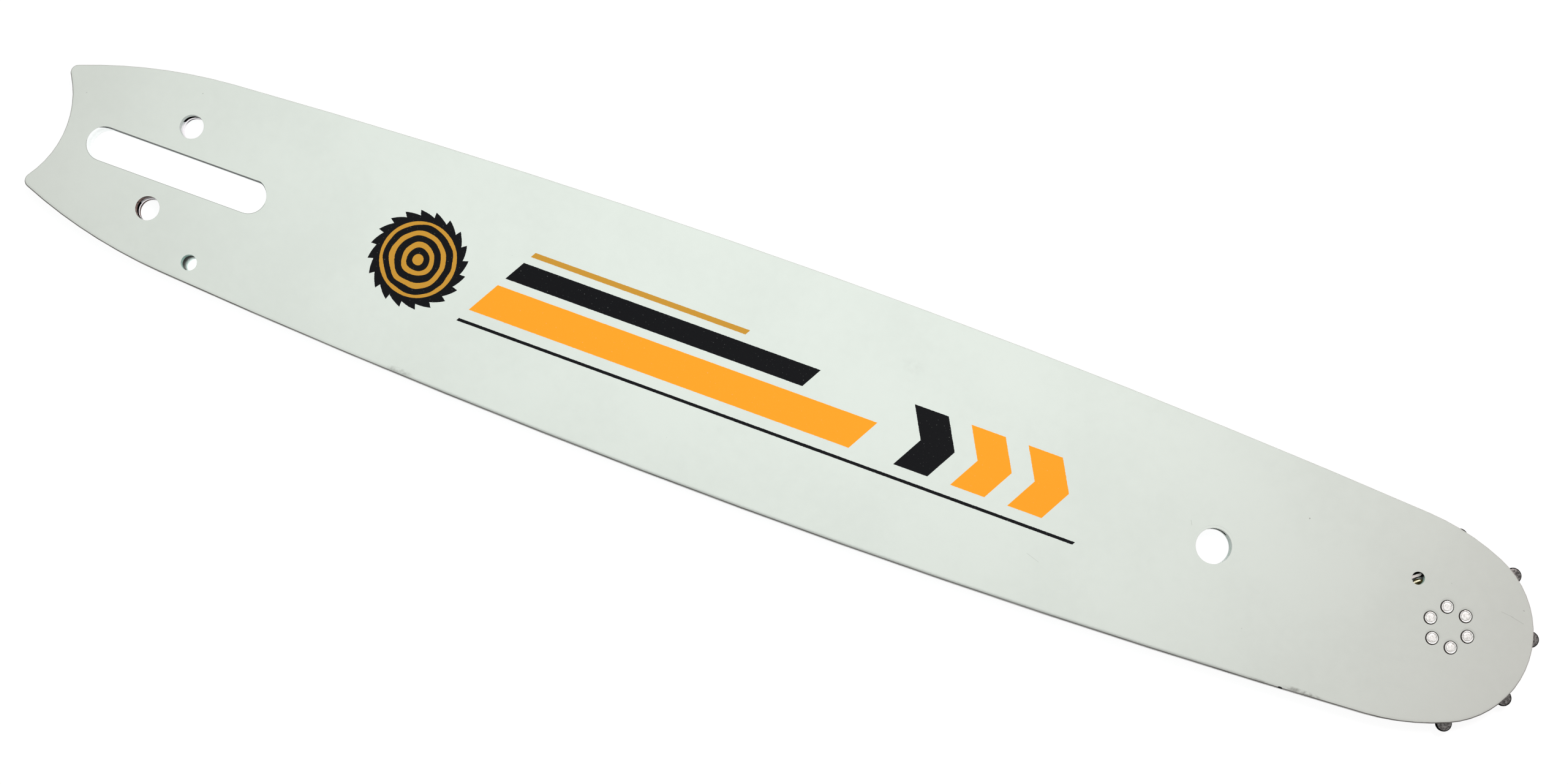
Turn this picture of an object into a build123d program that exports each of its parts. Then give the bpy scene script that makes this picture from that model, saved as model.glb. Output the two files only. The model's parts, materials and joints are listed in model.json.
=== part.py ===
from build123d import *
import os
from math import cos, pi, radians, sin, sqrt

# Chainsaw guide bar: three steel laminations and a sprocket nose, lying on its back face.
# Millimetres. X runs from the tail to the nose, Y across the bar, Z up through its thickness.
# The origin is the middle of the stud slot, on the back face.

os.makedirs("parts", exist_ok=True)

# Laminations
side_plate_thickness = 1.4
core_thickness = 1.3
groove_depth = 7.2
rail_bevel = 0.25

# Bar outline
bar_width = 62.8
widest_x = 166.5
nose_x = 336.3
nose_radius = 23.1
nose_step = 2.2
nose_shoulder_radius = 58.0
tail_shoulder_x = 14.7
tail_shoulder_radius = 137.0
tail_notch_radius = 24.8
tail_wall = 6.5
ear_round = 2.0

# Holes in the tail and the body
slot_length = 49.4
slot_width = 9.0
tension_hole_diameter = 6.3
tension_hole_wall = 4.15
upper_tension_hole_x = -0.6
lower_tension_hole_x = -3.1
oil_hole_diameter = 4.1
oil_hole_x = 12.3
hanging_hole_diameter = 8.9
hanging_hole_x = 278.6
core_relief = 0.4

# Nose sprocket
sprocket_setback = 0.3
tooth_count = 9
tooth_angle = 12.8
tooth_tip_radius = 25.3
tooth_tip_round = 2.0
valley_floor_radius = 16.4
sprocket_bore_radius = 12.6
sprocket_side_clearance = 0.08
sprocket_pocket_clearance = 0.8

# Roller bearing
roller_count = 23
roller_play = 0.1
roller_spacing = 0.2
grease_hole_diameter = 3.2
grease_hole_angle = 129.4

# Nose rivets
rivet_count = 6
rivet_angle = 52.3
rivet_ring_radius = 4.95
rivet_ring_forward = 2.3
rivet_ring_up = 0.9
rivet_diameter = 3.3
rivet_clearance = 0.03
rivet_recess = 0.05

# Levels of the laminations
core_z = side_plate_thickness
front_plate_z = core_z + core_thickness
bar_thickness = front_plate_z + side_plate_thickness

# Rails: one long arc each side, tangent to a shoulder arc at the tail and one at the nose
rail_drop = bar_width / 2 - (nose_radius + nose_step)
rail_radius = ((nose_x - widest_x) ** 2 + rail_drop**2) / (2 * rail_drop)
rail_center = Vector(widest_x, bar_width / 2 - rail_radius)
nose_center = Vector(nose_x, 0)
tail_reach = sqrt((rail_radius - tail_shoulder_radius) ** 2 - (tail_shoulder_x - widest_x) ** 2)
tail_shoulder_center = Vector(tail_shoulder_x, rail_center.Y + tail_reach)
nose_to_rail = rail_center - nose_center
rail_to_shoulder = rail_radius - nose_shoulder_radius
nose_to_shoulder = nose_shoulder_radius - nose_radius
shoulder_sum = nose_to_rail.length**2 + nose_to_shoulder**2 - rail_to_shoulder**2
shoulder_along = shoulder_sum / (2 * nose_to_rail.length)
shoulder_across = sqrt(nose_to_shoulder**2 - shoulder_along**2)
inward = nose_to_rail.normalized()
tailward = inward.rotate(Axis.Z, -90)
nose_shoulder_center = nose_center + inward * shoulder_along + tailward * shoulder_across

# Tail notch, which leaves a wall behind the slot, and the straight closing line inside it
tail_notch_x = -slot_length / 2 - tail_wall - tail_notch_radius
tail_close_x = tail_notch_x + tail_notch_radius / 2

# Sprocket's axis, a little behind the middle of the nose's arc
sprocket_x = nose_x - sprocket_setback
sprocket_center = Vector(sprocket_x, 0)

# Holes that follow the slot, the groove and the sprocket's bore
tension_hole_y = slot_width / 2 + tension_hole_wall + tension_hole_diameter / 2
rail_y_at_oil_hole = rail_center.Y + sqrt(rail_radius**2 - (oil_hole_x - widest_x) ** 2)
oil_hole_y = rail_y_at_oil_hole - groove_depth + oil_hole_diameter / 2
grease_hole_x = sprocket_x + sprocket_bore_radius * cos(radians(grease_hole_angle))
grease_hole_y = sprocket_bore_radius * sin(radians(grease_hole_angle))

# Sprocket teeth: round tips and round valleys that are tangent where they meet
tooth_pitch = 360 / tooth_count
half_pitch = tooth_pitch / 2
tip_center = Vector(tooth_tip_radius - tooth_tip_round, 0).rotate(Axis.Z, half_pitch)
floor_to_tip = tip_center - Vector(valley_floor_radius, 0)
valley_round = (floor_to_tip.length**2 - tooth_tip_round**2) / (2 * (floor_to_tip.X + tooth_tip_round))
valley_center = Vector(valley_floor_radius + valley_round, 0)
flank = tip_center + (valley_center - tip_center).normalized() * tooth_tip_round
sprocket_z = core_z + sprocket_side_clearance
sprocket_thickness = core_thickness - 2 * sprocket_side_clearance

# Bearing, from the sprocket's bore inwards: the rollers fill their ring, evenly spaced
roller_track = sprocket_bore_radius - roller_play
roller_share = sin(pi / roller_count)
roller_diameter = (2 * roller_track * roller_share - roller_spacing) / (1 + roller_share)
roller_ring_radius = roller_track - roller_diameter / 2
race_radius = roller_ring_radius - roller_diameter / 2 - roller_play

# Rivets
rivet_ring_x = nose_x + rivet_ring_forward
rivet_hole_radius = rivet_diameter / 2 + rivet_clearance


def touch_point(center, outer_center, radius):
    """Point where a circle touches the larger circle that it lies inside."""
    return center + (center - outer_center).normalized() * radius


def bar_outline(inset):
    """Whole outline of the bar, with its rails and nose set inwards by the inset."""
    tail_radius = tail_shoulder_radius - inset
    tail_rise = sqrt(tail_radius**2 - (tail_close_x - tail_shoulder_x) ** 2)
    tail_end = Vector(tail_close_x, tail_shoulder_center.Y + tail_rise)
    rail_start = touch_point(tail_shoulder_center, rail_center, tail_radius)
    rail_end = touch_point(nose_shoulder_center, rail_center, nose_shoulder_radius - inset)
    nose_start = touch_point(nose_center, nose_shoulder_center, nose_radius - inset)
    nose_tip = nose_center + Vector(nose_radius - inset, 0)
    with BuildSketch() as outline:
        with BuildLine():
            Line((tail_close_x, 0), tail_end)
            RadiusArc(tail_end, rail_start, tail_radius)
            RadiusArc(rail_start, rail_end, rail_radius - inset)
            RadiusArc(rail_end, nose_start, nose_shoulder_radius - inset)
            RadiusArc(nose_start, nose_tip, nose_radius - inset)
            mirror(about=Plane.XZ)
        make_face()
        with Locations((tail_notch_x, 0)):
            Circle(tail_notch_radius, mode=Mode.SUBTRACT)
        fillet(outline.vertices().sort_by(Axis.X)[:2], ear_round)
    return outline.sketch


def cut_openings(relief):
    """Stud slot, and the tensioner holes and hanging hole, these widened all round by the relief."""
    SlotOverall(slot_length, slot_width, mode=Mode.SUBTRACT)
    with Locations((upper_tension_hole_x, tension_hole_y), (lower_tension_hole_x, -tension_hole_y)):
        Circle(tension_hole_diameter / 2 + relief, mode=Mode.SUBTRACT)
    with Locations((hanging_hole_x, 0)):
        Circle(hanging_hole_diameter / 2 + relief, mode=Mode.SUBTRACT)


def rivet_circles(radius, mode):
    """Ring of circles where the nose rivets pass."""
    with Locations((rivet_ring_x, rivet_ring_up)):
        with PolarLocations(rivet_ring_radius, rivet_count, start_angle=rivet_angle):
            Circle(radius, mode=mode)


def side_plate(base_z, outer_z, small_holes):
    """Side plate with bevelled rails on its outer face and small holes of its own (x, y, diameter)."""
    with BuildPart() as plate:
        with BuildSketch(Plane.XY.offset(base_z)):
            add(bar_outline(0))
            cut_openings(0)
            rivet_circles(rivet_hole_radius, Mode.SUBTRACT)
            for hole_x, hole_y, hole_diameter in small_holes:
                with Locations((hole_x, hole_y)):
                    Circle(hole_diameter / 2, mode=Mode.SUBTRACT)
        extrude(amount=side_plate_thickness)
        outer_face = plate.faces().filter_by_position(Axis.Z, outer_z, outer_z)[0]
        chamfer(outer_face.outer_wire().edges(), rail_bevel)
    return plate


# Side plates: each has its oil hole on the rail that is lower when seen from outside
front_oil_hole = (oil_hole_x, -oil_hole_y, oil_hole_diameter)
grease_hole = (grease_hole_x, grease_hole_y, grease_hole_diameter)
front_side_plate = side_plate(front_plate_z, bar_thickness, [front_oil_hole, grease_hole])
front_side_plate.part.label = "front_side_plate"
export_step(front_side_plate.part, "parts/front_side_plate.step")

back_oil_hole = (oil_hole_x, oil_hole_y, oil_hole_diameter)
back_side_plate = side_plate(0, 0, [back_oil_hole])
back_side_plate.part.label = "back_side_plate"
export_step(back_side_plate.part, "parts/back_side_plate.step")

# Core plate: short of the rails by the chain groove, and hollowed round the sprocket
with BuildPart() as core_plate:
    with BuildSketch(Plane.XY.offset(core_z)):
        add(bar_outline(groove_depth))
        cut_openings(core_relief)
        with Locations(sprocket_center):
            Circle(tooth_tip_radius + sprocket_pocket_clearance, mode=Mode.SUBTRACT)
    extrude(amount=core_thickness)
core_plate.part.label = "core_plate"
export_step(core_plate.part, "parts/core_plate.step")

# Nose sprocket: the outer ring of the bearing, with teeth that stand past the nose
with BuildPart() as nose_sprocket:
    with BuildSketch(Plane((sprocket_x, 0, sprocket_z))):
        with BuildLine():
            for tooth in range(tooth_count):
                tip_turn = tooth_angle + tooth * tooth_pitch
                valley_turn = tip_turn + half_pitch
                tooth_start = flank.rotate(Axis.Z, tip_turn - half_pitch)
                tooth_end = Vector(flank.X, -flank.Y).rotate(Axis.Z, valley_turn)
                next_start = flank.rotate(Axis.Z, valley_turn)
                tip = Vector(tooth_tip_radius, 0).rotate(Axis.Z, tip_turn)
                valley_floor = Vector(valley_floor_radius, 0).rotate(Axis.Z, valley_turn)
                ThreePointArc(tooth_start, tip, tooth_end)
                ThreePointArc(tooth_end, valley_floor, next_start)
        make_face()
        Circle(sprocket_bore_radius, mode=Mode.SUBTRACT)
    extrude(amount=sprocket_thickness)
nose_sprocket.part.label = "nose_sprocket"
export_step(nose_sprocket.part, "parts/nose_sprocket.step")

# Bearing race: the fixed inner ring, clamped between the side plates by the rivets
with BuildPart() as bearing_race:
    with BuildSketch(Plane.XY.offset(core_z)):
        with Locations(sprocket_center):
            Circle(race_radius)
        rivet_circles(rivet_hole_radius, Mode.SUBTRACT)
    extrude(amount=core_thickness)
bearing_race.part.label = "bearing_race"
export_step(bearing_race.part, "parts/bearing_race.step")

# Bearing rollers: a full ring of loose rollers between the race and the sprocket, one under the grease hole
for roller in range(roller_count):
    roller_turn = grease_hole_angle + roller * 360 / roller_count
    roller_place = Vector(roller_ring_radius, 0).rotate(Axis.Z, roller_turn)
    with BuildPart() as bearing_roller:
        with BuildSketch(Plane(sprocket_center + roller_place + Vector(0, 0, sprocket_z))):
            Circle(roller_diameter / 2)
        extrude(amount=sprocket_thickness)
    bearing_roller.part.label = f"bearing_roller_{roller + 1:02d}"
    export_step(bearing_roller.part, f"parts/bearing_roller_{roller + 1:02d}.step")

# Nose rivets: set flush through the plates and the race
with BuildPart() as nose_rivets:
    with BuildSketch(Plane.XY.offset(rivet_recess)):
        rivet_circles(rivet_diameter / 2, Mode.ADD)
    extrude(amount=bar_thickness - 2 * rivet_recess)
nose_rivets.part.label = "nose_rivets"
export_step(nose_rivets.part, "parts/nose_rivets.step")
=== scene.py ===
import json
from math import cos, pi, radians, sin

import bmesh
import bpy
from mathutils import Matrix, Vector


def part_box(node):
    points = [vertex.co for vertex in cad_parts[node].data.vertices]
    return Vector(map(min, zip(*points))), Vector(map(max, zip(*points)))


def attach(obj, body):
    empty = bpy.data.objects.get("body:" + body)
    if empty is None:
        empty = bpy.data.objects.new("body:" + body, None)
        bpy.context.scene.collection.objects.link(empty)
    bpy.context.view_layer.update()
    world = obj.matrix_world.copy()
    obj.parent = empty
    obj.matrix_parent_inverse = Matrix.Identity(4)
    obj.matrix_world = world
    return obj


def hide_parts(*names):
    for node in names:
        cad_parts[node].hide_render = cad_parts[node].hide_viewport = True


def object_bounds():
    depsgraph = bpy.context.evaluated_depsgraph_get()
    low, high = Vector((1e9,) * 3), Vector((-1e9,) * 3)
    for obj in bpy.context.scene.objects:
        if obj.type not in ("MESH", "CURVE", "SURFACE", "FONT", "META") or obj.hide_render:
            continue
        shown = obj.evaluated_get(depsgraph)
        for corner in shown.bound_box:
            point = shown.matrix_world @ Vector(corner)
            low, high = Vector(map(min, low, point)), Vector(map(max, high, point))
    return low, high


# Looks of the chainsaw guide bar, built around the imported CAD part.
# Metres, in the part's own frame. Materials work in mm, from each piece's object coordinates.

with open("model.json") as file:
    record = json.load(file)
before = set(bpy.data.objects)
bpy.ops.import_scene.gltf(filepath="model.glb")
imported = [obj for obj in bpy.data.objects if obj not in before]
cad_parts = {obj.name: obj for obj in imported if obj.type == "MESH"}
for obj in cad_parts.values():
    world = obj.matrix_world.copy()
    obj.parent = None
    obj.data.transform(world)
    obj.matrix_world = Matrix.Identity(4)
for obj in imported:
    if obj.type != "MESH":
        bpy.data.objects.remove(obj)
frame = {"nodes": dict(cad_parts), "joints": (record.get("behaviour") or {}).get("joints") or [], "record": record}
cad_low, cad_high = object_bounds()
nodes = frame["nodes"]

MM = 0.001
MM_PER_METRE = 1000.0

# Places that the frame gives
NOSE = Vector(frame["joints"][0]["pos_m"])
RIVETS_LOW, RIVETS_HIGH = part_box("nose_rivets")
RIVET_RING = (RIVETS_LOW + RIVETS_HIGH) / 2

# Openings, as the record gives them: x, y and radius of each round hole, in mm
MOUNTS = {mount["name"]: mount for mount in frame["record"]["mounts"]}
ROUND_HOLES = {
    name: (mount["pos_m"][0] * MM_PER_METRE, mount["pos_m"][1] * MM_PER_METRE, mount["dims"]["r_mm"])
    for name, mount in MOUNTS.items() if mount["kind"] == "bore"
}
SLOT_RADIUS = MOUNTS["stud_slot"]["dims"]["hole_r_mm"]
SLOT_HALF_RUN = MOUNTS["stud_slot"]["dims"]["slot_length_mm"] / 2 - SLOT_RADIUS
# How far past an opening's edge its mask reaches
HOLE_MARGIN = 0.6

# Faces of the side plates that lie inside the bar: how far they are from its middle, in mm
MIDDLE_Z = 2.05
INNER_REACH = 0.9


def srgb(red, green, blue):
    """Linear colour from the 0 to 255 numbers of a screen colour, by the sRGB curve."""
    linear = []
    for level in (red, green, blue):
        share = level / 255
        linear.append(share / 12.92 if share <= 0.04045 else ((share + 0.055) / 1.055) ** 2.4)
    return (*linear, 1.0)


# Colours
BLACK = (0.0, 0.0, 0.0, 1.0)
WHITE = (1.0, 1.0, 1.0, 1.0)
PAINT = srgb(218, 222, 215)
PAINT_SHADE = srgb(214, 218, 211)
SPECK = srgb(128, 128, 124)
SMUDGE_AND_SHADE = srgb(138, 138, 132)
CHIP = srgb(14, 13, 12)
HOLE_PAINT = srgb(232, 238, 233)
HOLE_GRIME = srgb(150, 118, 110)
HOLE_BAND = srgb(244, 240, 243)
HOLE_SHADE = srgb(104, 100, 106)
OIL_HOLE_WALL = srgb(176, 206, 197)
LEDGE_GRIME_AND_SHADOW = srgb(9, 7, 8)
CUT_STEEL = srgb(244, 246, 245)
SLOT_SHADE = srgb(84, 88, 87)
GREASE_AND_SHADE_BLACK = srgb(6, 6, 5)
GREASE_HOLE_WALL = srgb(200, 222, 212)
INNER_STEEL = srgb(236, 236, 234)
INK_BLACK = srgb(7, 6, 9)
INK_ORANGE = srgb(252, 158, 38)
INK_GOLD = srgb(196, 142, 52)
RAIL_STEEL = srgb(150, 148, 145)
RAIL_STAIN = srgb(98, 95, 92)
EDGE_SHADE = srgb(52, 50, 49)
CORE_STEEL = srgb(52, 49, 47)
CORE_STAIN = srgb(24, 21, 19)
TOOTH_STEEL = srgb(124, 121, 119)
TOOTH_OXIDE = srgb(60, 58, 57)
TOOTH_RIM = srgb(8, 7, 7)
RING_STEEL = srgb(206, 200, 196)
ROLLER_STEEL = srgb(236, 228, 200)
ROLLER_GREASE = srgb(82, 76, 44)
RIVET_STEEL = srgb(228, 226, 223)
RIVET_MARK = srgb(184, 181, 176)
RIVET_SHADE = srgb(52, 48, 46)

# Names that end in NOISE are the settings of a noise, its scale in bumps per mm.
# Names that end in FADE are where a smooth step starts and ends, and its values there if not 0 and 1.

# Colour sockets of a Mix node, by number, because their names repeat
MIX_FIRST, MIX_SECOND, MIX_RESULT = 6, 7, 2
NOISE_MIDDLE = 0.5
EDGE_SAMPLES = 6
# Half the width of a soft border, in mm
SOFT = 0.1
# Specular levels
DULL = 0.06
GREASY = 0.1


class Shader:
    """Adds nodes to a new material and joins them up."""

    def __init__(self, name):
        self.material = bpy.data.materials.new(name)
        self.material.use_nodes = True
        self.tree = self.material.node_tree
        self.tree.nodes.clear()
        places = self.add("ShaderNodeTexCoord")
        in_mm = {"Vector": places.outputs["Object"], "Scale": MM_PER_METRE}
        self.point = self.add("ShaderNodeVectorMath", in_mm, operation="SCALE").outputs["Vector"]
        self.x, self.y, self.z = self.axes(self.point)
        self.facing_x, self.facing_y, facing_z = self.axes(places.outputs["Normal"])
        self.upright = self.math("ABSOLUTE", facing_z)

    def add(self, kind, inputs=None, **settings):
        """New node with these settings and inputs."""
        node = self.tree.nodes.new(kind)
        for name, value in settings.items():
            setattr(node, name, value)
        for name, value in (inputs or {}).items():
            self.feed(node.inputs[name], value)
        return node

    def feed(self, socket, value):
        """Links another node's output to a socket, or sets a constant there."""
        if isinstance(value, bpy.types.NodeSocket):
            self.tree.links.new(value, socket)
        else:
            socket.default_value = value

    def math(self, operation, *values):
        """Result of a Math node."""
        node = self.add("ShaderNodeMath", operation=operation)
        for socket, value in zip(node.inputs, values):
            self.feed(socket, value)
        return node.outputs[0]

    def axes(self, vector):
        """A vector's X, Y and Z."""
        return self.add("ShaderNodeSeparateXYZ", {"Vector": vector}).outputs

    def both(self, *masks):
        """Where every mask holds. A plain number weakens the mask."""
        joined = masks[0]
        for mask in masks[1:]:
            joined = self.math("MULTIPLY", joined, mask)
        return joined

    def any(self, *masks):
        """Where at least one mask holds."""
        joined = masks[0]
        for mask in masks[1:]:
            joined = self.math("MAXIMUM", joined, mask)
        return joined

    def without(self, mask):
        """Where the mask doesn't hold."""
        return self.math("SUBTRACT", 1.0, mask)

    def over(self, value, low):
        """Where a value is over a limit."""
        return self.math("GREATER_THAN", value, low)

    def under(self, value, high):
        """Where a value is under a limit."""
        return self.math("LESS_THAN", value, high)

    def between(self, value, low, high):
        """Where a value lies between two limits."""
        return self.both(self.over(value, low), self.under(value, high))

    def fade(self, value, start, end, low=0.0, high=1.0):
        """Smooth step of a value, from low at the start to high at the end."""
        node = self.add("ShaderNodeMapRange", {
            "Value": value, "From Min": start, "From Max": end, "To Min": low, "To Max": high,
        }, interpolation_type="SMOOTHSTEP")
        return node.outputs["Result"]

    def noise(self, scale, detail=2.0, stretch=(1, 1, 1), shift=0.0):
        """Noise between 0 and 1, its scale in bumps per mm."""
        moved = self.add("ShaderNodeMapping", {
            "Vector": self.point, "Scale": stretch, "Location": (shift, shift, 0),
        })
        node = self.add("ShaderNodeTexNoise", {
            "Vector": moved.outputs["Vector"], "Scale": scale, "Detail": detail,
        })
        return node.outputs["Fac"]

    def waver(self, noise, depth):
        """A noise moved to swing about zero, times a depth."""
        return self.math("MULTIPLY", self.math("SUBTRACT", noise, NOISE_MIDDLE), depth)

    def mix(self, share, first, second):
        """Colour that goes from the first to the second as the share goes from 0 to 1."""
        node = self.add("ShaderNodeMix", {"Factor": share}, data_type="RGBA")
        self.feed(node.inputs[MIX_FIRST], first)
        self.feed(node.inputs[MIX_SECOND], second)
        return node.outputs[MIX_RESULT]

    def squares(self, first, second):
        """Sum of two squares."""
        return self.math("ADD", self.math("POWER", first, 2.0), self.math("POWER", second, 2.0))

    def span(self, x, y):
        """Distance in the bar's plane from a place, in mm."""
        across = self.math("SUBTRACT", self.x, x)
        along = self.math("SUBTRACT", self.y, y)
        return self.math("SQRT", self.squares(across, along))

    def oval(self, x, y, half_length, half_width):
        """0 in the middle of an oval place and 1 at its edge."""
        along = self.math("DIVIDE", self.math("SUBTRACT", self.x, x), half_length)
        across = self.math("DIVIDE", self.math("SUBTRACT", self.y, y), half_width)
        return self.squares(along, across)

    def finish(self, colour, roughness, height, depth_mm, metallic=0.0, edge_mm=0.0, **sockets):
        """Principled surface with a bump of that depth, and with edges rounded to the eye."""
        surface = self.add("ShaderNodeBsdfPrincipled", {
            "Base Color": colour, "Roughness": roughness, "Metallic": metallic,
        })
        for name, value in sockets.items():
            self.feed(surface.inputs[name.replace("_", " ")], value)
        bump = self.add("ShaderNodeBump", {
            "Height": height, "Distance": depth_mm * MM, "Strength": 1.0,
        })
        if edge_mm:
            rounded = self.add("ShaderNodeBevel", {"Radius": edge_mm * MM}, samples=EDGE_SAMPLES)
            self.feed(bump.inputs["Normal"], rounded.outputs["Normal"])
        self.feed(surface.inputs["Normal"], bump.outputs["Normal"])
        self.add("ShaderNodeOutputMaterial", {"Surface": surface.outputs["BSDF"]})
        return self.material


# Print on the front plate: a ringed emblem, slanted stripes and chevrons, all sizes in mm
PRINT_Y = -0.5
LEAN = 0.55
RAGGED_NOISE = {"scale": 3.0}
RAGGED_DEPTH = 0.16
PINHOLE_NOISE = {"scale": 2.2, "detail": 3.0, "shift": 9.0}
PINHOLE_FADE = (0.66, 0.78, 1.0, 0.82)
EMBLEM_X = 67.0
EMBLEM_RADIUS = 11.4
EMBLEM_TEETH = 20
EMBLEM_TOOTH = 1.5
RING_PITCH = 3.0
RING_WIDTH = 1.3
RING_OUTER = 9.9
RING_NOISE = {"scale": 0.16, "detail": 1.0}
RING_WAVER = 1.6
# Stripes: lower and upper edge, start and end
BLACK_STRIPES = [(-11.2, -10.4, 88.0, 252.0), (3.0, 8.4, 88.0, 168.0)]
ORANGE_STRIPES = [(-7.6, 0.8, 88.0, 190.0)]
GOLD_STRIPES = [(10.4, 11.8, 88.0, 146.0)]
CHEVRON_STROKE = 9.0
CHEVRON_LOW = -7.6
CHEVRON_HIGH = 8.4
# Chevrons: where the stroke starts, on the line through its tip
BLACK_CHEVRONS = [202.0]
ORANGE_CHEVRONS = [217.0, 232.0]


def print_masks(shader):
    """Masks of the black, orange and gold inks."""
    ragged = shader.waver(shader.noise(**RAGGED_NOISE), RAGGED_DEPTH)
    x = shader.math("ADD", shader.x, ragged)
    y = shader.math("ADD", shader.math("SUBTRACT", shader.y, PRINT_Y), ragged)
    slanted = shader.math("MULTIPLY_ADD", y, -LEAN, x)
    from_tip = shader.math("SUBTRACT", y, (CHEVRON_LOW + CHEVRON_HIGH) / 2)
    swept = shader.math("MULTIPLY_ADD", shader.math("ABSOLUTE", from_tip), LEAN, x)

    def stripes(rows):
        return [shader.both(shader.between(y, low, high), shader.between(slanted, start, end))
                for low, high, start, end in rows]

    def chevrons(starts):
        tall = shader.between(y, CHEVRON_LOW, CHEVRON_HIGH)
        return [shader.both(tall, shader.between(swept, start, start + CHEVRON_STROKE))
                for start in starts]

    arm = shader.math("SUBTRACT", x, EMBLEM_X)
    radius = shader.math("SQRT", shader.squares(arm, y))
    turn = shader.math("ARCTAN2", y, arm)
    tooth = shader.math("FRACT", shader.math("MULTIPLY", turn, EMBLEM_TEETH / (2 * pi)))
    rim = shader.math("MULTIPLY_ADD", tooth, EMBLEM_TOOTH, EMBLEM_RADIUS)
    emblem = shader.under(radius, rim)
    waver = shader.waver(shader.noise(**RING_NOISE), RING_WAVER)
    ring = shader.math("MODULO", shader.math("ADD", radius, waver), RING_PITCH)
    rings = shader.both(shader.under(ring, RING_WIDTH), shader.under(radius, RING_OUTER))

    black = shader.any(emblem, *stripes(BLACK_STRIPES), *chevrons(BLACK_CHEVRONS))
    orange = shader.any(*stripes(ORANGE_STRIPES), *chevrons(ORANGE_CHEVRONS))
    gold = shader.any(rings, *stripes(GOLD_STRIPES))
    return black, orange, gold


# Marks on the side plates: places and sizes in mm
# Smudges: middle, half length, half width and strength
SMUDGES = [
    (310.4, -26.5, 6.0, 0.9, 0.8), (300.5, -27.5, 5.0, 0.6, 0.6), (73.0, -28.6, 4.0, 0.9, 0.5),
    (194.0, 16.7, 4.0, 2.5, 0.06),
]
SMUDGE_NOISE = {"scale": 0.9, "detail": 4.0, "shift": 31.0}
SMUDGE_FADE = (0.3, 0.64)
# Scratches and dots: start, end and half width
SCRATCHES = [
    (349.4, 8.9, 352.6, 8.6, 0.05), (352.0, 8.6, 355.4, 7.9, 0.06),
    (236.0, -17.5, 239.5, -18.6, 0.05), (271.3, 4.2, 271.9, 3.0, 0.07),
    (354.3, 11.1, 354.7, 10.9, 0.16), (-29.8, 10.9, -29.5, 10.9, 0.12),
    (291.3, -16.8, 291.5, -16.8, 0.12), (335.9, 11.4, 336.1, 11.3, 0.1),
]
SCRATCH_STRENGTH = 0.3
# Nick in the lower edge: middle, half length and half width
NICK = (304.7, -27.2, 0.6, 0.28)
# Specks: cells per mm, and a speck's size in cells by the cell's own random number
SPECK_CELLS = 0.11
SPECK_FADE = (0.35, 1.0, 0.0, 0.022)
SPECK_STRENGTH = 0.7
# Painted shade, a soft dark line along the lower edge: how far in it reaches, and where along the bar it gets
# heavy and light again
EDGE_SHADE_REACH = 1.2
EDGE_SHADE_SAMPLES = 4
EDGE_SHADE_LEAN_FADE = (-0.02, -0.4)
EDGE_SHADE_START_FADE = (40.0, 100.0)
EDGE_SHADE_END_FADE = (315.0, 280.0)
EDGE_SHADE_STRENGTH_FADE = (0.0, 1.0, 0.2, 0.8)


def smudge_mask(shader):
    """Soft dirty patches, broken up by noise."""
    patches = [shader.fade(shader.oval(*place), 1.0, 0.0, 0.0, strength) for *place, strength in SMUDGES]
    broken = shader.fade(shader.noise(**SMUDGE_NOISE), *SMUDGE_FADE)
    return shader.both(shader.any(*patches), broken)


def scratch_mask(shader):
    """Thin straight scratches, and short ones that are dots."""
    lines = []
    for x0, y0, x1, y1, half_width in SCRATCHES:
        run = Vector((x1 - x0, y1 - y0))
        ahead = run.normalized()
        dx = shader.math("SUBTRACT", shader.x, x0)
        dy = shader.math("SUBTRACT", shader.y, y0)
        along = shader.math(
            "ADD", shader.math("MULTIPLY", dx, ahead.x), shader.math("MULTIPLY", dy, ahead.y))
        across = shader.math(
            "SUBTRACT", shader.math("MULTIPLY", dx, ahead.y), shader.math("MULTIPLY", dy, ahead.x))
        near = shader.under(shader.math("ABSOLUTE", across), half_width)
        lines.append(shader.both(near, shader.between(along, 0.0, run.length)))
    return shader.any(*lines)


def nick_mask(shader):
    """Nick in the lower edge, where the paint is gone."""
    return shader.under(shader.oval(*NICK), 1.0)


def speck_mask(shader):
    """Small dark specks, one at most in each cell of a loose grid."""
    cells = shader.add("ShaderNodeTexVoronoi", {
        "Vector": shader.point, "Scale": SPECK_CELLS, "Randomness": 1.0,
    })
    odds = shader.add("ShaderNodeSeparateColor", {"Color": cells.outputs["Color"]})
    size = shader.fade(odds.outputs["Red"], *SPECK_FADE)
    return shader.under(cells.outputs["Distance"], size)


def shaded_edge(shader):
    """Painted shade: a soft dark line just inside the lower edge."""
    soft = shader.add("ShaderNodeBevel", {"Radius": EDGE_SHADE_REACH * MM}, samples=EDGE_SHADE_SAMPLES)
    lean = shader.axes(soft.outputs["Normal"])["Y"]
    heavy = shader.both(
        shader.fade(shader.x, *EDGE_SHADE_START_FADE), shader.fade(shader.x, *EDGE_SHADE_END_FADE))
    return shader.both(
        shader.fade(lean, *EDGE_SHADE_LEAN_FADE), shader.fade(heavy, *EDGE_SHADE_STRENGTH_FADE))


# Stud slot, in mm
# Painted shade on its upper wall: its lower end's height over the back face, how much higher that end is
# where the wall turns to face the nose, and how far round the slot's ends the shade goes
SLOT_FOOT = 1.0
SLOT_SHADE_RISE = 4.8
SLOT_SHADE_TURN_FADE = (-0.6, -0.8)
# Its painted shade line on the face, round the slot's nose end: width, and how far past the straight part
# it is widest and ends
RIM_LINE = 0.2
RIM_LINE_WIDEST = 1.5
RIM_LINE_END = 4.4
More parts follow.
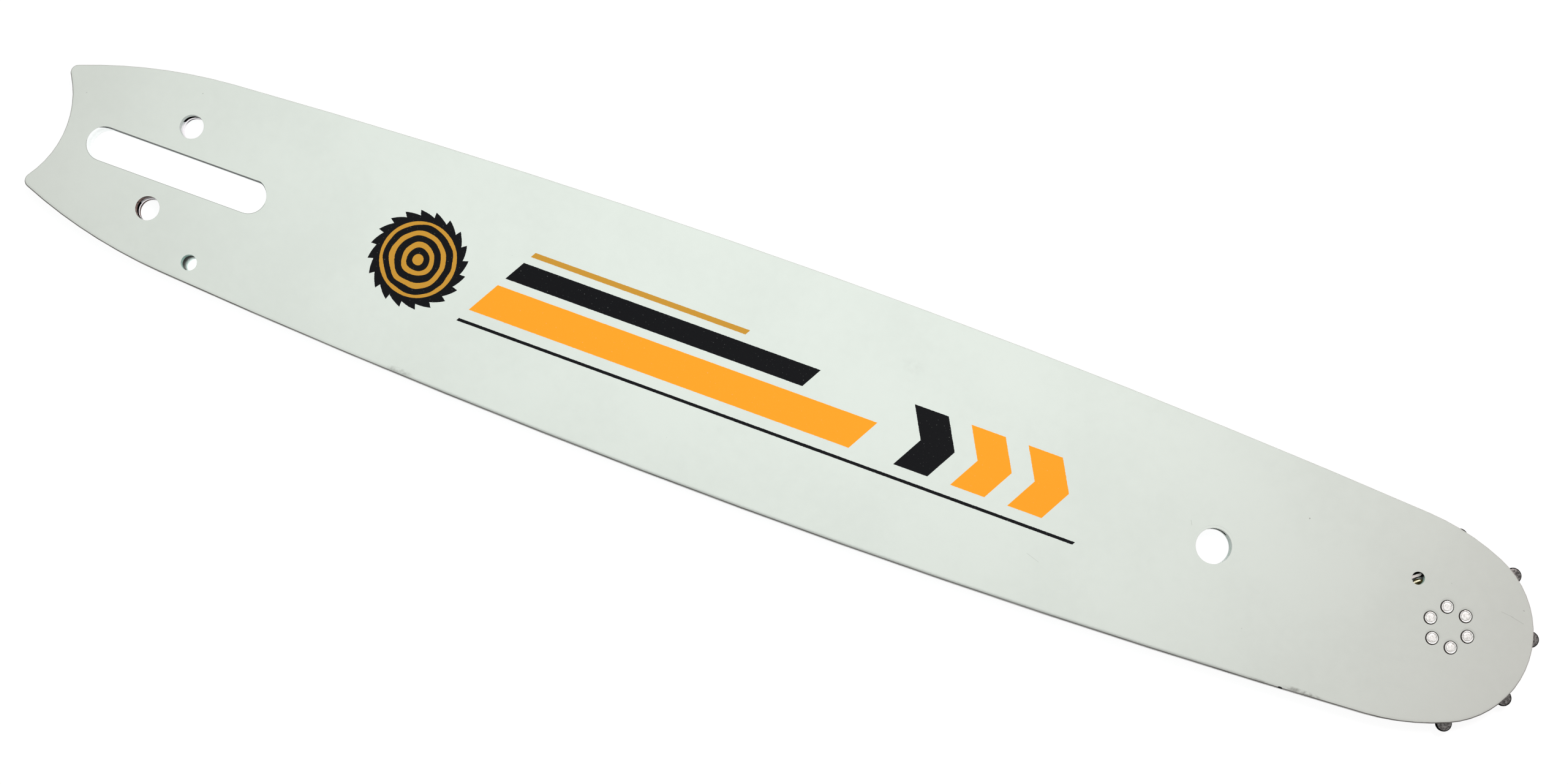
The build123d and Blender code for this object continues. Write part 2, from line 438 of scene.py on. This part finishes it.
# Painted shade, a thin line on the face along the slot's lower edge
LOWER_RIM_SHADE_FADE = (SLOT_RADIUS + 0.2, SLOT_RADIUS + 0.1)
LOWER_RIM_SIDE_FADE = (0.0, -1.0)
LOWER_RIM_SHADE_STRENGTH = 0.6


def slot_reach(shader):
    """Distance from the stud slot's middle line."""
    past_end = shader.math("SUBTRACT", shader.math("ABSOLUTE", shader.x), SLOT_HALF_RUN)
    run = shader.math("MAXIMUM", past_end, 0.0)
    return shader.math("SQRT", shader.squares(run, shader.y))


def slot_mask(shader):
    """In and close round the stud slot."""
    return shader.under(slot_reach(shader), SLOT_RADIUS + HOLE_MARGIN)


def slot_wall(shader):
    """Colour of the slot's walls, with painted shade along the upper one, and how bare they are."""
    slot_shade_end = shader.math("MULTIPLY_ADD", shader.facing_x, SLOT_SHADE_RISE, SLOT_FOOT)
    over_end = shader.math("SUBTRACT", shader.z, slot_shade_end)
    # Painted shade on the wall that faces the bar's lower side
    stain = shader.both(
        shader.fade(shader.facing_y, *SLOT_SHADE_TURN_FADE), shader.fade(over_end, -SOFT, SOFT))
    return shader.mix(stain, CUT_STEEL, SLOT_SHADE), shader.without(stain)


def slot_rim_shade(shader):
    """Painted shade: a thin dark line on the face, round the upper nose end of the slot."""
    past = shader.math("SUBTRACT", shader.x, SLOT_HALF_RUN)
    width = shader.both(
        shader.fade(past, 0.0, RIM_LINE_WIDEST), shader.fade(past, RIM_LINE_END, RIM_LINE_WIDEST),
        RIM_LINE)
    from_edge = shader.math("SUBTRACT", slot_reach(shader), SLOT_RADIUS)
    return shader.both(
        shader.under(from_edge, width), shader.over(past, 0.0), shader.over(shader.y, 0.0))


def lower_rim_shade(shader):
    """Painted shade: a thin grey line on the face, along the slot's lower edge."""
    return shader.both(
        shader.fade(slot_reach(shader), *LOWER_RIM_SHADE_FADE), shader.fade(shader.y, *LOWER_RIM_SIDE_FADE))


# Round holes, in mm
# Ledges inside them: which way their painted shadow lies and how far from the hole's middle it starts, as a
# share of the radius
SHADOWED_LEDGES = [
    ("upper_tension_hole", -0.47, 0.88, 0.75), ("hanging_hole", -0.2, 0.98, 0.75),
    ("lower_tension_hole", -0.7, -0.71, 0.45),
]
RELIEVED_HOLES = [name for name, *rest in SHADOWED_LEDGES]
DIRTY_HOLE = "lower_tension_hole"
GRIME_NOISE = {"scale": 1.1, "detail": 4.0, "shift": 17.0}
GRIME_FADE = (0.48, 0.62)
# Foot of the walls in the back plate, bright, but shaded in the tensioner holes: its height
HOLE_FOOT = 0.4
TENSION_HOLE_FEET = {"upper_tension_hole": 0.65, "lower_tension_hole": 0.85}
SHADE_TURN_FADE = (0.0, -0.7)
GREASE_HOLE_SHADE_TURN_FADE = (-0.2, -0.7)


def hole_mask(shader, *names):
    """In and close round some of the round holes."""
    masks = []
    for x, y, radius in [ROUND_HOLES[name] for name in names]:
        masks.append(shader.under(shader.span(x, y), radius + HOLE_MARGIN))
    return shader.any(*masks)


def ledge_shadow_mask(shader):
    """Painted shadow on one side of the ledges where the core's holes are wider than the plates' holes."""
    parts = []
    for name, toward_x, toward_y, share in SHADOWED_LEDGES:
        x, y, radius = ROUND_HOLES[name]
        across = shader.math("MULTIPLY", shader.math("SUBTRACT", shader.x, x), toward_x)
        reach = shader.math("MULTIPLY_ADD", shader.math("SUBTRACT", shader.y, y), toward_y, across)
        parts.append(shader.both(shader.over(reach, share * radius), hole_mask(shader, name)))
    return shader.any(*parts)


def grimy_wall(shader):
    """Blotchy brown and black dirt."""
    blotches = shader.fade(shader.noise(**GRIME_NOISE), *GRIME_FADE)
    return shader.mix(blotches, HOLE_GRIME, LEDGE_GRIME_AND_SHADOW)


def back_walls(shader, slot, wall, cut):
    """Walls of the back plate's openings, brighter than the front's, with a foot of their own."""
    foot_height = shader.math("MULTIPLY_ADD", slot, SLOT_FOOT - HOLE_FOOT, HOLE_FOOT)
    for hole, height in TENSION_HOLE_FEET.items():
        here = hole_mask(shader, hole)
        foot_height = shader.math("MULTIPLY_ADD", here, height - HOLE_FOOT, foot_height)
    foot = shader.fade(shader.math("SUBTRACT", shader.z, foot_height), SOFT, -SOFT)
    banded = hole_mask(shader, *TENSION_HOLE_FEET)
    dirty = hole_mask(shader, DIRTY_HOLE)
    turned = shader.any(dirty, shader.fade(shader.facing_y, *SHADE_TURN_FADE))
    shade = shader.both(banded, foot, turned)
    shade_colour = shader.mix(dirty, HOLE_SHADE, grimy_wall(shader))
    wall = shader.mix(foot, wall, CUT_STEEL)
    wall = shader.mix(banded, wall, shader.mix(shade, HOLE_BAND, shade_colour))
    return wall, shader.math("SUBTRACT", shader.any(cut, foot, banded), shade)


def hole_walls(shader, slot, printed):
    """Colour of the walls in a side plate's openings, and where they are bare."""
    slot_colour, slot_bare = slot_wall(shader)
    wall = shader.mix(slot, HOLE_PAINT, slot_colour)
    wall = shader.mix(hole_mask(shader, DIRTY_HOLE), wall, grimy_wall(shader))
    cut = shader.both(slot, slot_bare)
    if not printed:
        return back_walls(shader, slot, wall, cut)
    wall = shader.mix(hole_mask(shader, "front_oil_hole"), wall, OIL_HOLE_WALL)
    # Painted shade: the grease hole's walls that face the bar's lower side turn black
    turned = shader.fade(shader.facing_y, *GREASE_HOLE_SHADE_TURN_FADE)
    grease_hole_shaded = shader.mix(turned, GREASE_HOLE_WALL, GREASE_AND_SHADE_BLACK)
    return shader.mix(hole_mask(shader, "grease_hole"), wall, grease_hole_shaded), cut


# Side plates
CLOUD_NOISE = {"scale": 0.035, "detail": 3.0}
BLOTCH_NOISE = {"scale": 0.4, "detail": 2.0}
BLOTCH_SHARE = 0.4
CLOUD_FADE = (0.5, 1.0)
SHEEN_NOISE = {"scale": 0.6, "detail": 3.0}
SHEEN_FADE = (0.3, 0.7, 0.36, 0.46)
PEEL_NOISE = {"scale": 0.9, "detail": 2.0}
GRAIN_NOISE = {"scale": 5.0, "detail": 2.0}
GRAIN_SHARE = 0.25
PEEL_DEPTH = 0.012
PAINT_EDGE = 0.16
# Which way a surface faces, for the painted faces and the lower corner between face and rail, dark as painted
# shade
FACE_FADE = (0.3, 0.6)
SHADED_CORNER_TURN_FADE = (-0.1, -0.4)
SHADED_CORNER_UPRIGHT_FADE = (0.95, 0.8)
# Bare steel: the ground rails and the rolled faces inside the bar
GROUND_NOISE = {"scale": 1.6, "detail": 3.0, "stretch": (0.04, 1, 4)}
GROUND_FADE = (0.3, 0.7)
RAIL_METAL = 0.3
ROLLED_NOISE = {"scale": 2.5, "detail": 3.0, "stretch": (0.05, 1, 1)}
ROLLED_FADE = (0.3, 0.7, 0.8, 1.0)
INNER_GLOSS_FADE = (0.0, 1.0, 1.0, 0.6)


def painted_face(shader, printed):
    """Colour of a plate's outer face: the paint with its print and marks."""
    blotches = shader.math("MULTIPLY", shader.noise(**BLOTCH_NOISE), BLOTCH_SHARE)
    cloudy = shader.math("ADD", shader.noise(**CLOUD_NOISE), blotches)
    colour = shader.mix(shader.fade(cloudy, *CLOUD_FADE), PAINT, PAINT_SHADE)
    if printed:
        black, orange, gold = print_masks(shader)
        pinholes = shader.fade(shader.noise(**PINHOLE_NOISE), *PINHOLE_FADE)
        colour = shader.mix(shader.both(black, pinholes), colour, INK_BLACK)
        colour = shader.mix(shader.both(orange, pinholes), colour, INK_ORANGE)
        colour = shader.mix(gold, colour, INK_GOLD)
        colour = shader.mix(smudge_mask(shader), colour, SMUDGE_AND_SHADE)
        colour = shader.mix(shader.both(scratch_mask(shader), SCRATCH_STRENGTH), colour, SMUDGE_AND_SHADE)
    colour = shader.mix(shader.both(speck_mask(shader), SPECK_STRENGTH), colour, SPECK)
    # Painted shade along the slot's lower edge, in the smudge colour
    colour = shader.mix(shader.both(lower_rim_shade(shader), LOWER_RIM_SHADE_STRENGTH), colour, SMUDGE_AND_SHADE)
    if printed:
        # Painted shade round the slot's upper nose end
        colour = shader.mix(slot_rim_shade(shader), colour, SLOT_SHADE)
    return colour


def bar_paint(name, printed):
    """Pale satin paint on the faces, thin paint in the holes and bare ground steel on the rails."""
    shader = Shader(name)
    # Painted shade: corners that face the bar's lower side take the rail's darker colour instead of paint
    shaded_corner = shader.both(
        shader.fade(shader.facing_y, *SHADED_CORNER_TURN_FADE), shader.fade(shader.upright, *SHADED_CORNER_UPRIGHT_FADE))
    face = shader.both(shader.fade(shader.upright, *FACE_FADE), shader.without(shaded_corner))
    sides = shader.without(face)
    slot = slot_mask(shader)
    holes = shader.any(slot, hole_mask(shader, *ROUND_HOLES))
    away = shader.without(holes)

    wall, cut = hole_walls(shader, slot, printed)
    ground = shader.fade(shader.noise(**GROUND_NOISE), *GROUND_FADE)
    rail = shader.mix(ground, RAIL_STEEL, RAIL_STAIN)
    # Painted shade just inside the lower edge, away from the holes
    dirty = shader.both(shaded_edge(shader), away)
    colour = shader.mix(dirty, painted_face(shader, printed), EDGE_SHADE)
    colour = shader.mix(face, shader.mix(holes, rail, wall), colour)

    from_middle = shader.math("ABSOLUTE", shader.math("SUBTRACT", shader.z, MIDDLE_Z))
    inside = shader.both(face, shader.under(from_middle, INNER_REACH))
    relief = hole_mask(shader, *RELIEVED_HOLES)
    colour = shader.mix(shader.both(inside, relief), colour, wall)
    inner = shader.both(inside, shader.without(relief))
    rolled = shader.fade(shader.noise(**ROLLED_NOISE), *ROLLED_FADE)
    colour = shader.mix(shader.both(inner, rolled), colour, INNER_STEEL)
    # Painted shadow, black, on one side of the ledges
    ledge = shader.both(inside, ledge_shadow_mask(shader))
    colour = shader.mix(ledge, colour, LEDGE_GRIME_AND_SHADOW)

    bare_rail = shader.both(sides, away, RAIL_METAL)
    bare = shader.any(bare_rail, shader.both(sides, holes, cut), inner, ledge)
    if printed:
        nick = nick_mask(shader)
        colour = shader.mix(nick, colour, CHIP)
        bare = shader.both(bare, shader.without(nick))

    sheen = shader.fade(shader.noise(**SHEEN_NOISE), *SHEEN_FADE)
    roughness = shader.math("MULTIPLY", sheen, shader.fade(inner, *INNER_GLOSS_FADE))
    grain = shader.math("MULTIPLY", shader.noise(**GRAIN_NOISE), GRAIN_SHARE)
    peel = shader.math("ADD", shader.noise(**PEEL_NOISE), grain)
    return shader.finish(
        colour, roughness, peel, PEEL_DEPTH, metallic=bare, edge_mm=PAINT_EDGE, Specular_IOR_Level=DULL)


# Core and race
OIL_NOISE = {"scale": 0.12, "detail": 5.0}
OIL_FADE = (0.35, 0.7)
CORE_GLOSS_FADE = (0.2, 0.8, 0.35, 0.6)
CORE_METAL = 0.85
CORE_DEPTH = 0.01


def core_steel(name):
    """Bare rolled steel, dark with oil, painted in the relieved holes, with painted shade on the ledges and the
    slot's upper wall.
    """
    shader = Shader(name)
    stain = shader.fade(shader.noise(**OIL_NOISE), *OIL_FADE)
    colour = shader.mix(stain, CORE_STEEL, CORE_STAIN)
    hole = hole_mask(shader, *RELIEVED_HOLES)
    colour = shader.mix(hole, colour, HOLE_PAINT)
    colour = shader.mix(hole_mask(shader, DIRTY_HOLE), colour, grimy_wall(shader))
    # Painted shadow on one side of the ledges
    colour = shader.mix(ledge_shadow_mask(shader), colour, LEDGE_GRIME_AND_SHADOW)
    slot = slot_mask(shader)
    # The slot's walls carry the same painted shade as the plates'
    slot_colour, slot_bare = slot_wall(shader)
    colour = shader.mix(slot, colour, slot_colour)
    away = shader.without(shader.any(slot, hole))
    metallic = shader.both(shader.any(away, shader.both(slot, slot_bare)), CORE_METAL)
    rolled = shader.noise(**ROLLED_NOISE)
    roughness = shader.fade(rolled, *CORE_GLOSS_FADE)
    return shader.finish(
        colour, roughness, rolled, CORE_DEPTH, metallic=metallic, Specular_IOR_Level=DULL)


# Sprocket: its ring as seen through the grease hole, sizes in mm
RING_BORE = 12.6
TOOTHED_FADE = (15.0, 18.5)
OXIDE_NOISE = {"scale": 2.1, "detail": 5.0}
OXIDE_FADE = (0.34, 0.68)
RIM_FADE = (0.99, 0.9)
WAVY_NOISE = {"scale": 0.8, "detail": 3.0}
WAVY_DEPTH = 0.5
# Painted shade on the ring: a wavy band under the plates' edge, a band at the gap by the bore, and a painted
# shadow blotch
OUTER_RING_SHADE_FADE = (13.75, 13.9)
BORE_GAP_SHADE_FADE = (RING_BORE + 0.35, RING_BORE + 0.25)
SHADOW_FROM_HOLE = (1.78, 0.7)
SHADOW_BLOTCH_RADIUS = 1.1
SCUFF_NOISE = {"scale": 3.0, "detail": 4.0}
SCUFF_FADE = (0.25, 0.75, 0.32, 0.55)
SCUFF_DEPTH = 0.012
SPROCKET_METAL_FADE = (0.0, 1.0, 0.8, 1.0)


def nose_reach(shader):
    """Distance from the sprocket's axis."""
    return shader.span(NOSE.x * MM_PER_METRE, NOSE.y * MM_PER_METRE)


def hole_shadow_blotch(shader):
    """Painted shadow: a black blotch at the nose side of the grease hole."""
    x, y, radius = ROUND_HOLES["grease_hole"]
    reach = shader.span(x + SHADOW_FROM_HOLE[0], y + SHADOW_FROM_HOLE[1])
    return shader.fade(reach, SHADOW_BLOTCH_RADIUS + SOFT, SHADOW_BLOTCH_RADIUS - SOFT)


def sprocket_steel(name):
    """Dark hardened teeth on a ring ground bright near its bore, with painted shade round the bright band."""
    shader = Shader(name)
    reach = nose_reach(shader)
    toothed = shader.fade(reach, *TOOTHED_FADE)
    oxide = shader.fade(shader.noise(**OXIDE_NOISE), *OXIDE_FADE)
    rim = shader.fade(shader.upright, *RIM_FADE)
    tooth = shader.mix(rim, shader.mix(oxide, TOOTH_STEEL, TOOTH_OXIDE), TOOTH_RIM)
    wavy = shader.math("MULTIPLY_ADD", shader.noise(**WAVY_NOISE), WAVY_DEPTH, reach)
    # Painted shade round the ring's bright band, and the painted shadow by the grease hole
    ring_shade = shader.any(
        shader.fade(wavy, *OUTER_RING_SHADE_FADE), shader.fade(reach, *BORE_GAP_SHADE_FADE),
        hole_shadow_blotch(shader))
    ring = shader.mix(ring_shade, RING_STEEL, GREASE_AND_SHADE_BLACK)
    colour = shader.mix(toothed, ring, tooth)
    scuffs = shader.noise(**SCUFF_NOISE)
    roughness = shader.fade(scuffs, *SCUFF_FADE)
    dark = shader.any(
        shader.both(toothed, rim), shader.both(shader.without(toothed), ring_shade))
    metallic = shader.fade(dark, *SPROCKET_METAL_FADE)
    return shader.finish(
        colour, roughness, scuffs, SCUFF_DEPTH, metallic=metallic, Specular_IOR_Level=DULL,
        Specular_Tint=BLACK)


# Rollers: a painted highlight, the bright line where they show under the grease hole, distances from the axis in
# mm
GLINT_INNER = 11.75
GLINT_OUTER = 12.1
GLINT_METAL = 0.6
FILM_NOISE = {"scale": 0.8, "detail": 4.0}
FILM_FADE = (0.32, 0.62)
FILM_GLOSS_FADE = (0.0, 1.0, 0.25, 0.5)
FILM_METAL = 0.9
FILM_DEPTH = 0.015


def roller_steel(name):
    """Ground rollers under a film of old grease, with a painted highlight in a band round the axis."""
    shader = Shader(name)
    film = shader.fade(shader.noise(**FILM_NOISE), *FILM_FADE)
    colour = shader.mix(film, ROLLER_GREASE, GREASE_AND_SHADE_BLACK)
    # Painted highlight in a band round the sprocket's axis, left out under the painted shadow
    glint = shader.between(nose_reach(shader), GLINT_INNER, GLINT_OUTER)
    glint = shader.both(glint, shader.without(hole_shadow_blotch(shader)))
    colour = shader.mix(glint, colour, ROLLER_STEEL)
    roughness = shader.fade(film, *FILM_GLOSS_FADE)
    metallic = shader.any(shader.both(glint, GLINT_METAL), shader.both(film, FILM_METAL))
    return shader.finish(
        colour, roughness, film, FILM_DEPTH, metallic=metallic, Specular_IOR_Level=GREASY,
        Specular_Tint=BLACK)


# Nose rivets
RIVET_COUNT = 6
RIVET_ANGLE = radians(52.3)
RIVET_RING_RADIUS = 4.95 * MM
RIVET_SEGMENTS = 56
# Heads: distance from the axis and depth below the top, in mm, from the middle outwards
RIVET_PROFILE = [
    (0.0, 0.03), (0.6, 0.032), (1.02, 0.04), (1.12, 0.07), (1.2, 0.06), (1.27, 0.03), (1.34, 0.012),
    (1.41, 0.014), (1.48, 0.03), (1.55, 0.06), (1.61, 0.11), (1.65, 0.18),
]
# Painted shade round the pan and outside the rim, heavier on one side: distances from a place beside the axis, in
# mm
RIVET_SHADE_SHIFT = Vector((0.1, 0.07))
FAR_FROM_RIVETS = 10.0
RIVET_PAN = 1.1
PAN_FADE = (0.12, 0.02, 0.0, 0.6)
RIVET_RIM_FADE = (1.38, 1.5)
RIVET_METAL = (0.75, 0.3)
DENT_NOISE = {"scale": 1.9, "detail": 3.0}
DENT_FADE = (0.3, 0.7, 0.28, 0.48)
DENT_DEPTH = 0.03
MARK_NOISE = {"scale": 3.4, "detail": 4.0, "shift": 5.0}
MARK_FADE = (0.42, 0.7)


def rivet_places():
    """Middles of the rivets, in metres."""
    turns = [RIVET_ANGLE + number * 2 * pi / RIVET_COUNT for number in range(RIVET_COUNT)]
    return [RIVET_RING + Vector((cos(turn), sin(turn), 0)) * RIVET_RING_RADIUS for turn in turns]


def rivet_steel(name):
    """Bright soft steel with the dents of the riveting tool, and painted shade round the pan and rim."""
    shader = Shader(name)
    marks = shader.fade(shader.noise(**MARK_NOISE), *MARK_FADE)
    colour = shader.mix(marks, RIVET_STEEL, RIVET_MARK)
    reach = FAR_FROM_RIVETS
    for place in rivet_places():
        middle = place.xy * MM_PER_METRE + RIVET_SHADE_SHIFT
        reach = shader.math("MINIMUM", reach, shader.span(*middle))
    from_pan = shader.math("ABSOLUTE", shader.math("SUBTRACT", reach, RIVET_PAN))
    # Painted shade in a ring round the pan and outside the rim
    colour = shader.mix(shader.fade(from_pan, *PAN_FADE), colour, RIVET_SHADE)
    colour = shader.mix(shader.fade(reach, *RIVET_RIM_FADE), colour, RIVET_SHADE)
    dents = shader.noise(**DENT_NOISE)
    roughness = shader.fade(dents, *DENT_FADE)
    metallic = shader.fade(reach, *RIVET_RIM_FADE, *RIVET_METAL)
    return shader.finish(
        colour, roughness, dents, DENT_DEPTH, metallic=metallic, Specular_Tint=BLACK)


def dress(node, material):
    """Gives a CAD node its material."""
    node.data.materials.clear()
    node.data.materials.append(material)


def add_piece(name, mesh, material):
    """New smooth piece from a finished bmesh."""
    data = bpy.data.meshes.new(name)
    mesh.to_mesh(data)
    mesh.free()
    data.polygons.foreach_set("use_smooth", [True] * len(data.polygons))
    data.materials.append(material)
    piece = bpy.data.objects.new(name, data)
    bpy.context.scene.collection.objects.link(piece)
    return piece


def rivet_ring(mesh, middle, radius, z):
    """One ring of a rivet's points, or the single point on its axis."""
    count = RIVET_SEGMENTS if radius > 0 else 1
    ring = []
    for step in range(count):
        angle = 2 * pi * step / count
        place = (middle.x + radius * cos(angle), middle.y + radius * sin(angle), z)
        ring.append(mesh.verts.new(place))
    return ring


def rivet_heads(material):
    """Rivets with a rolled rim round a shallow pan, in the place of the CAD ones."""
    low, high = RIVETS_LOW.z, RIVETS_HIGH.z
    top_half = [(radius * MM, high - depth * MM) for radius, depth in RIVET_PROFILE]
    bottom_half = [(radius, low + high - z) for radius, z in reversed(top_half)]
    mesh = bmesh.new()
    for middle in rivet_places():
        rings = [rivet_ring(mesh, middle, radius, z) for radius, z in top_half + bottom_half]
        for upper, lower in zip(rings, rings[1:]):
            for step in range(RIVET_SEGMENTS):
                after = (step + 1) % RIVET_SEGMENTS
                if len(upper) == 1:
                    corners = (upper[0], lower[step], lower[after])
                elif len(lower) == 1:
                    corners = (upper[step], lower[0], upper[after])
                else:
                    corners = (upper[step], lower[step], lower[after], upper[after])
                mesh.faces.new(corners)
    piece = add_piece("rivet_heads", mesh, material)
    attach(piece, "bar")
    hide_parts("nose_rivets")


# Broken edges of the sprocket
TOOTH_EDGE = 0.38 * MM
TOOTH_EDGE_STEPS = 3
SHARP_ANGLE = radians(40)
FLAT_ANGLE = radians(1)
WELD_REACH = 0.0005 * MM


def sprocket_piece(material):
    """The CAD sprocket with its edges broken, in the place of the CAD one."""
    mesh = bmesh.new()
    mesh.from_mesh(nodes["nose_sprocket"].data)
    bmesh.ops.remove_doubles(mesh, verts=mesh.verts, dist=WELD_REACH)
    bmesh.ops.dissolve_limit(mesh, angle_limit=FLAT_ANGLE, verts=mesh.verts, edges=mesh.edges)
    sharp = [edge for edge in mesh.edges if edge.calc_face_angle(0) > SHARP_ANGLE]
    bmesh.ops.bevel(
        mesh, geom=sharp, offset=TOOTH_EDGE, segments=TOOTH_EDGE_STEPS, profile=0.5, affect="EDGES")
    piece = add_piece("sprocket_ring", mesh, material)
    piece.data.set_sharp_from_angle(angle=SHARP_ANGLE)
    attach(piece, "sprocket")
    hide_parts("nose_sprocket")


# Pieces and materials
dress(nodes["front_side_plate"], bar_paint("front_paint", True))
dress(nodes["back_side_plate"], bar_paint("back_paint", False))
core = core_steel("core_steel")
dress(nodes["core_plate"], core)
dress(nodes["bearing_race"], core)
rollers = roller_steel("roller_steel")
for node_name in frame["record"]["behaviour"]["bodies"]["rollers"]:
    dress(nodes[node_name], rollers)
rivet_heads(rivet_steel("rivet_steel"))
sprocket_piece(sprocket_steel("sprocket_steel"))

# Stage: sizes in metres
FLOOR_SIZE = 8.0
FLOOR_DROP = 0.0002
FLOOR_DIFFUSE = (0.2, 0.2, 0.2, 1.0)
FLOOR_LIFT = 0.9
WORLD_LIGHT = (0.278, 0.237, 0.237, 1.0)
LAMPS = {
    "key_box": {
        "place": (0.36, 0.55, 0.85), "target": (0.17, 0.0, 0.0), "length": 0.3, "width": 0.3,
        "power": 4.33, "colour": (1.0, 0.905, 0.917),
    },
    "near_box": {
        "place": (0.132, 0.021, 0.119), "target": (0.132, 0.021, 0.0), "length": 0.39, "width": 0.2,
        "power": 0.252, "colour": (0.82, 1.0, 0.985),
    },
}
# Camera, placed to give the photograph's view
CAMERA_PLACE = Vector((0.197819, -0.056662, 0.487341))
CAMERA_TARGET = Vector((0.165867, -0.000443, 0.0041))
CAMERA_UP = Vector((-0.34017, 0.93122, 0.13083))
CAMERA_NEAR = 0.01
SENSOR_WIDTH_MM = 36.0
LENS_MM = 44.747


def seen_rays(tree):
    """1 for rays that look at the background, straight or in a reflection, and 0 for light."""
    rays = tree.nodes.new("ShaderNodeLightPath")
    seen = rays.outputs["Is Camera Ray"]
    for kind in ("Is Glossy Ray", "Is Transmission Ray"):
        either = tree.nodes.new("ShaderNodeMath")
        either.operation = "MAXIMUM"
        tree.links.new(seen, either.inputs[0])
        tree.links.new(rays.outputs[kind], either.inputs[1])
        seen = either.outputs[0]
    return seen


def floor_material():
    """White floor that keeps a soft shadow: part of it is lit, part shines for what looks at it."""
    material = bpy.data.materials.new("floor")
    material.use_nodes = True
    tree = material.node_tree
    tree.nodes.clear()
    lit = tree.nodes.new("ShaderNodeBsdfDiffuse")
    lit.inputs["Color"].default_value = FLOOR_DIFFUSE
    shine = tree.nodes.new("ShaderNodeEmission")
    strength = tree.nodes.new("ShaderNodeMath")
    strength.operation = "MULTIPLY"
    strength.inputs[1].default_value = FLOOR_LIFT
    tree.links.new(seen_rays(tree), strength.inputs[0])
    tree.links.new(strength.outputs[0], shine.inputs["Strength"])
    total = tree.nodes.new("ShaderNodeAddShader")
    tree.links.new(lit.outputs[0], total.inputs[0])
    tree.links.new(shine.outputs[0], total.inputs[1])
    output = tree.nodes.new("ShaderNodeOutputMaterial")
    tree.links.new(total.outputs[0], output.inputs["Surface"])
    return material


def add_floor():
    """Wide floor just under the bar."""
    middle = (CAMERA_TARGET.x, 0, cad_low.z - FLOOR_DROP)
    bpy.ops.mesh.primitive_plane_add(size=FLOOR_SIZE, location=middle)
    floor = bpy.context.object
    floor.name = "floor"
    floor.data.materials.append(floor_material())


def add_world():
    """Even soft light, white where the camera or a reflection sees it."""
    world = bpy.data.worlds.new("studio")
    world.use_nodes = True
    bpy.context.scene.world = world
    tree = world.node_tree
    tree.nodes.clear()
    light = tree.nodes.new("ShaderNodeBackground")
    light.inputs["Color"].default_value = WORLD_LIGHT
    white = tree.nodes.new("ShaderNodeBackground")
    white.inputs["Color"].default_value = WHITE
    choose = tree.nodes.new("ShaderNodeMixShader")
    tree.links.new(seen_rays(tree), choose.inputs[0])
    tree.links.new(light.outputs[0], choose.inputs[1])
    tree.links.new(white.outputs[0], choose.inputs[2])
    output = tree.nodes.new("ShaderNodeOutputWorld")
    tree.links.new(choose.outputs[0], output.inputs["Surface"])


def add_lamp(name, place, target, length, width, power, colour):
    """Soft box that points at the target."""
    data = bpy.data.lights.new(name, "AREA")
    data.shape = "RECTANGLE"
    data.size = length
    data.size_y = width
    data.energy = power
    data.color = colour
    lamp = bpy.data.objects.new(name, data)
    bpy.context.scene.collection.objects.link(lamp)
    lamp.location = place
    lamp.rotation_euler = (Vector(target) - Vector(place)).to_track_quat("-Z", "Y").to_euler()
    lamp.visible_camera = False


def add_camera():
    """Camera at the photograph's viewing angle."""
    data = bpy.data.cameras.new("camera")
    data.sensor_width = SENSOR_WIDTH_MM
    data.lens = LENS_MM
    data.clip_start = CAMERA_NEAR
    camera = bpy.data.objects.new("camera", data)
    bpy.context.scene.collection.objects.link(camera)
    back = (CAMERA_PLACE - CAMERA_TARGET).normalized()
    right = CAMERA_UP.cross(back).normalized()
    up = back.cross(right)
    turn = Matrix((right, up, back)).transposed()
    camera.matrix_world = Matrix.Translation(CAMERA_PLACE) @ turn.to_4x4()
    bpy.context.scene.camera = camera


add_floor()
add_world()
for lamp_name, lamp in LAMPS.items():
    add_lamp(lamp_name, **lamp)
add_camera()
bpy.context.scene.view_settings.view_transform = "Standard"
